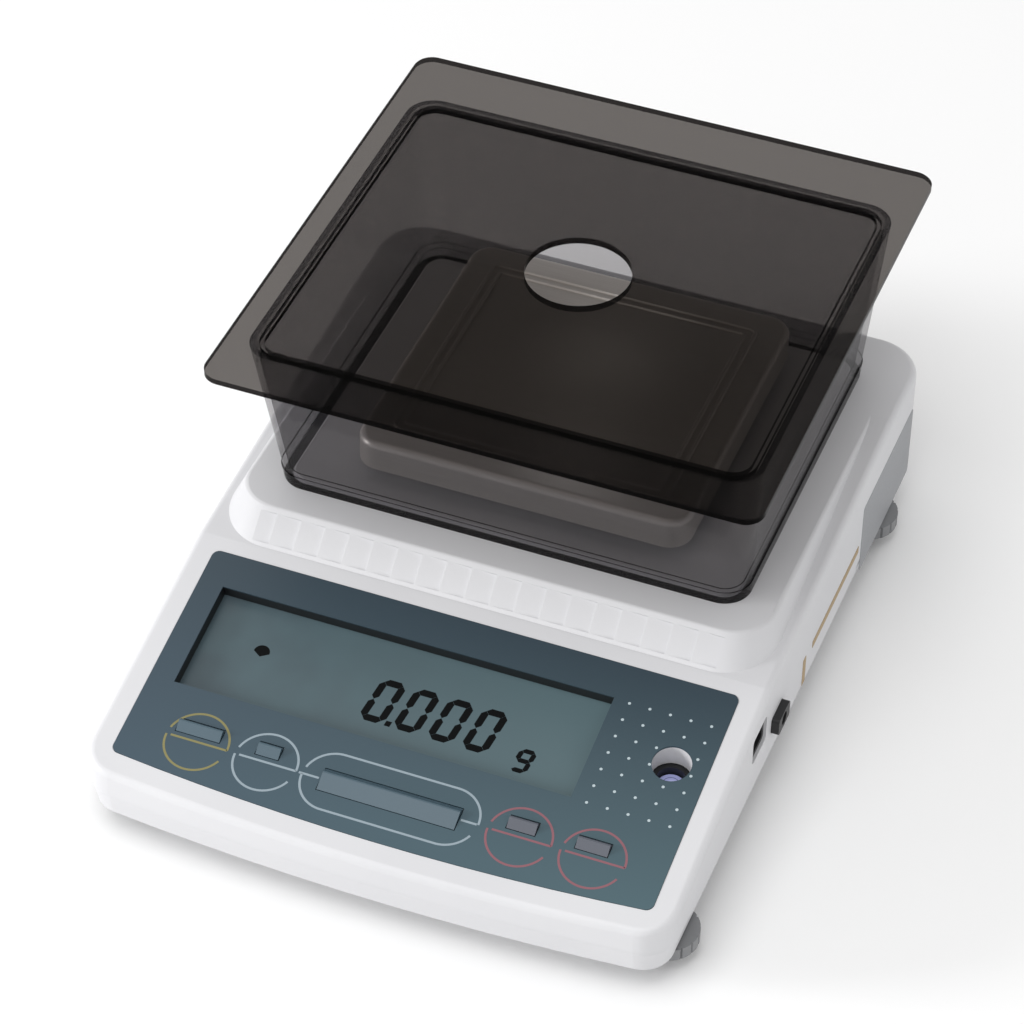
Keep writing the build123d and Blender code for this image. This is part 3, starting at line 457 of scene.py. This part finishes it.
outlines = []
for place in range(4):
    left = FIGURE_LEFT_MM + place * DIGIT_PITCH_MM
    outlines += figure("abcdef", left, FIGURE_LOW_MM, DIGIT_WIDTH_MM, DIGIT_HEIGHT_MM,
                       DIGIT_STROKE_MM)
point_x = FIGURE_LEFT_MM + DIGIT_WIDTH_MM + POINT_CLEAR_MM
outlines.append(np.array([(0, 0), (1.9, 0), (2.15, 1.9), (0.25, 1.9)])
                + np.array([point_x, FIGURE_LOW_MM]))
outlines += figure("abcdfg", UNIT_LEFT_MM, UNIT_LOW_MM, UNIT_WIDTH_MM, UNIT_HEIGHT_MM,
                   UNIT_STROKE_MM)
outlines.append(np.concatenate([arc(MARK_CENTRE_MM, MARK_RADIUS_MM, 0, 180, 16), [MARK_TIP_MM]]))
lcd_dark = ink_material("lcd_segment_dark", SEGMENT_INK, 0.55, 0.1)
points, faces = prisms(outlines, LCD_DEPTH_MM - 0.02, LCD_DEPTH_MM + 0.04)
add_piece("display_figures", points, faces, lcd_dark, "base")


# Bubble level: a glass vial of lavender liquid, pressed into a black cup at the bottom of
# the housing's moulded tube. The bubble shows as a pale disc inside a printed ring.
RING_INSIDE_MM, RING_LINE_MM, LEVEL_INK_LOW_MM, LEVEL_INK_HIGH_MM = 2.6, 0.25, -0.02, 0.03
BUBBLE_CENTRE_MM, BUBBLE_RADIUS_MM, BUBBLE_HIGH_MM = (0.3, -0.2), 1.9, 0.02
vial_low, vial_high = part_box("level_vial")
vial_centre = (vial_low + vial_high) / 2
vial_glass, tree = new_material("level_vial_lavender")
finish_material(vial_glass, add_node(tree, "ShaderNodeBsdfPrincipled", {
    "Base Color": linear_colour("#AEB3E6"), "Roughness": 0.12}))
dress("level_vial", vial_glass)
dress("level_cup", well_abs)


def on_vial(x, y, lift):
    """Points in metres over the vial's top from its centre, all in mm."""
    x, y, lift = np.broadcast_arrays(np.asarray(x, float), y, lift)
    return np.stack([vial_centre.x + x * MM, vial_centre.y + y * MM, vial_high.z + lift * MM], -1)


points, faces = ribbon(arc((0, 0), RING_INSIDE_MM, 0, 358), RING_LINE_MM,
                       LEVEL_INK_LOW_MM, LEVEL_INK_HIGH_MM, on_vial)
add_piece("level_ring", points, faces, ink_material("level_ring_ink", "#5E628C"), "base")
bubble_air, tree = new_material("level_bubble_air")
finish_material(bubble_air, add_node(tree, "ShaderNodeBsdfPrincipled", {
    "Base Color": linear_colour("#BEC2EE"), "Roughness": 0.08}))
points, faces = prisms([arc(BUBBLE_CENTRE_MM, BUBBLE_RADIUS_MM, 0, 345, 24)],
                       LEVEL_INK_LOW_MM, BUBBLE_HIGH_MM, on_vial)
add_piece("level_bubble", points, faces, bubble_air, "base")


# Pan: deep-drawn stainless steel with a brushed face, resting loose on four rubber pads.
# The scratches run from side to side. Real ones are ten times finer, and these are drawn
# half a millimetre apart so that they show. They give a long, soft, dull sheen.
SCRATCH_MM = 0.5


def brushed_steel(name, light, dark, roughness, scratch_mm, stretch=40.0, metal=1.0):
    """Metal with straight scratches: a noise squeezed across its run and stretched along it.
    A metal value under 1 adds the dull scatter of a worn or bead-blasted face."""
    material, tree = new_material(name)
    place = add_node(tree, "ShaderNodeTexCoord").outputs["Object"]
    scale = 1 / (scratch_mm * MM)
    mapped = add_node(tree, "ShaderNodeMapping", {
        "Vector": place, "Scale": (scale / stretch, scale, scale)})
    noise = add_node(tree, "ShaderNodeTexNoise", {
        "Vector": mapped.outputs[0], "Scale": 1.0, "Detail": 3.0})
    colour = add_node(tree, "ShaderNodeMix", {
        "Factor": noise.outputs["Fac"], 6: linear_colour(light), 7: linear_colour(dark)},
        data_type="RGBA")
    gloss = add_node(tree, "ShaderNodeMapRange", {
        "Value": noise.outputs["Fac"], "To Min": roughness - 0.06, "To Max": roughness + 0.06})
    bump = add_node(tree, "ShaderNodeBump", {
        "Height": noise.outputs["Fac"], "Strength": 0.2, "Distance": 0.01 * MM})
    return finish_material(material, add_node(tree, "ShaderNodeBsdfPrincipled", {
        "Base Color": colour.outputs[2], "Metallic": metal, "Roughness": gloss.outputs[0],
        "Normal": bump.outputs["Normal"]}))


dress("weighing_pan", brushed_steel(
    "brushed_stainless", "#E4E0DB", "#D0CBC5", 0.4, SCRATCH_MM, metal=0.55))


# Draft shield and lid: acrylic dyed smoke grey, moulded and polished. The thin wall lets
# half the light through and the thicker lid about a sixth. Their narrow edges look darker,
# because light that enters there runs along the sheet.
WALL_FACE, WALL_EDGE = "#DBDADB", "#7B7A7B"
LID_FACE, LID_EDGE = "#AAA7A5", "#4A4848"
LID_SHINE_IOR = 1.49
WALL_SHINE_IOR = 2.0
FLAT_ABOVE = 0.6
POLISH_ROUGHNESS = 0.06


def smoky_acrylic(name, face_tint, edge_tint, flat_is_edge, shine_ior):
    """Dyed acrylic as a thin sheet: tinted straight through, with a polished reflection that
    grows towards grazing angles. The front face also stands for the back face's reflection,
    so a thin sheet has a higher index than acrylic's 1.49. Its edges are told by their tilt."""
    material, tree = new_material(name)
    geometry = add_node(tree, "ShaderNodeNewGeometry")
    split = add_node(tree, "ShaderNodeSeparateXYZ", {0: geometry.outputs["True Normal"]})
    rise = add_node(tree, "ShaderNodeMath", {0: split.outputs["Z"]}, operation="ABSOLUTE")
    flat = add_node(tree, "ShaderNodeMath", {
        0: rise.outputs[0], 1: FLAT_ABOVE}, operation="GREATER_THAN")
    first, second = (face_tint, edge_tint) if flat_is_edge else (edge_tint, face_tint)
    tint = add_node(tree, "ShaderNodeMix", {
        "Factor": flat.outputs[0], 6: linear_colour(first), 7: linear_colour(second)},
        data_type="RGBA")
    through = add_node(tree, "ShaderNodeBsdfTransparent", {"Color": tint.outputs[2]})
    polish = add_node(tree, "ShaderNodeBsdfPrincipled", {
        "Base Color": linear_colour("#1A1817"), "Roughness": POLISH_ROUGHNESS,
        "IOR": shine_ior})
    shine = add_node(tree, "ShaderNodeFresnel", {"IOR": shine_ior})
    front = add_node(tree, "ShaderNodeMath", {
        0: 1.0, 1: geometry.outputs["Backfacing"]}, operation="SUBTRACT")
    amount = add_node(tree, "ShaderNodeMath", {
        0: shine.outputs[0], 1: front.outputs[0]}, operation="MULTIPLY")
    return finish_material(material, add_node(tree, "ShaderNodeMixShader", {
        0: amount.outputs[0], 1: through.outputs[0], 2: polish.outputs[0]}))


dress("draft_shield", smoky_acrylic("smoked_acrylic_wall", WALL_FACE, WALL_EDGE, True, WALL_SHINE_IOR))
dress("shield_lid", smoky_acrylic("smoked_acrylic_lid", LID_FACE, LID_EDGE, False, LID_SHINE_IOR))


# Feet: moulded grey nylon thumb wheels, each screwed up and down on its plated steel stud,
# which stands on the table with a round tip.
black_nylon = moulded_plastic("moulded_nylon_black", "#1B1C1E", "#131415", 0.5, GRAIN_MM)
grey_nylon = moulded_plastic("moulded_nylon_grey", "#8C8D8F", "#7E7F81", 0.45, GRAIN_MM)
zinc_steel = brushed_steel("zinc_plated_steel", "#A9ABAE", "#8F9194", 0.35, 0.3, 4.0)
for place in ("front_left", "front_right", "rear_left", "rear_right"):
    dress("foot_wheel_" + place, grey_nylon)
    dress("foot_stud_" + place, zinc_steel)


# Side plate: a bare sheet of matt silver foil stuck on the rear half of the housing's
# right side, with two strips of gold foil in front of it.
FOIL_LOW_MM, FOIL_HIGH_MM = -0.02, 0.1
PLATE_CORNERS_MM, PLATE_RADIUS_MM = ((57.0, 15.0), (112.0, 43.5)), 1.5
LONG_STRIP_MM = ((5.0, 26.4), (54.0, 29.4))
SHORT_STRIP_MM = ((-4.6, 18.0), (-1.6, 29.4))
STRIP_RADIUS_MM = 0.4


def on_right_side(y, z, lift):
    """Points in metres on the housing's right wall for y and z, and a lift off it, in mm."""
    y, z, lift = np.broadcast_arrays(np.asarray(y, float), z, lift)
    return np.stack([case_high.x + lift * MM, y * MM, z * MM], -1)


def rounded_box(low, high, radius):
    """A rectangle's outline with rounded corners, counter-clockwise from its lower right."""
    corners = (((high[0], low[1]), 270), ((high[0], high[1]), 0),
               ((low[0], high[1]), 90), ((low[0], low[1]), 180))
    inset = {270: (-1, 1), 0: (-1, -1), 90: (1, -1), 180: (1, 1)}
    return np.concatenate([
        arc((x + inset[a][0] * radius, z + inset[a][1] * radius), radius, a, a + 90, 8)
        for (x, z), a in corners])


points, faces = prisms([rounded_box(*PLATE_CORNERS_MM, PLATE_RADIUS_MM)],
                       FOIL_LOW_MM, FOIL_HIGH_MM, on_right_side)
add_piece("rating_plate", points, faces, ink_material("matt_silver_foil", "#8F9195", 0.4),
          "base")


points, faces = prisms([rounded_box(*LONG_STRIP_MM, STRIP_RADIUS_MM),
                        rounded_box(*SHORT_STRIP_MM, STRIP_RADIUS_MM)],
                       FOIL_LOW_MM, FOIL_HIGH_MM, on_right_side)
add_piece("gold_strip", points, faces, ink_material("gold_foil", "#A5895A", 0.4),
          "base")


# Side connectors and screws: black moulded nylon shells on the connector board, which reach
# out through the housing's side, and plated steel screws that hold the tray from below.
dress("data_socket", black_nylon)
dress("power_inlet", black_nylon)
dress("case_screws", zinc_steel)


# Inside: glass-fibre circuit boards under green solder mask, the die-cast weigh-cell frame
# with its rolled spring guides, the force motor's nickel-plated pot and copper coil, and the
# cast cross with its rubber pads that carries the pan.
solder_mask = moulded_plastic("green_solder_mask", "#1E5A3A", "#174A30", 0.3, 1.2)
for name in ("display_board", "key_board", "connector_board", "main_board"):
    dress(name, solder_mask)
cast_alloy = moulded_plastic("die_cast_aluminium", "#9A9C9E", "#87898B", 0.5, 0.8, 0.05)
for name in ("chassis", "weigh_cell_column", "load_receptor", "pan_support", "guide_clamps"):
    dress(name, cast_alloy)
for name in ("guide_lower", "guide_upper"):
    dress(name, brushed_steel("rolled_spring_steel_" + name, "#B5B0A5", "#9C978C", 0.3, 0.4))
dress("magnet_pot", brushed_steel("nickel_plated_iron", "#A8A7A2", "#92918C", 0.25, 0.5))
dress("force_coil", brushed_steel("lacquered_copper_wire", "#B56A3C", "#9C5830", 0.35, 0.25))
dress("pan_pads", moulded_plastic("black_rubber", "#202020", "#181818", 0.7, 0.6))
dress("key_switches", black_nylon)
dress("position_sensor", black_nylon)
ribbon_pvc = moulded_plastic("grey_ribbon_pvc", "#A6A8AA", "#989A9C", 0.5, 0.9)
for name in ("display_cable", "cell_cable"):
    dress(name, ribbon_pvc)
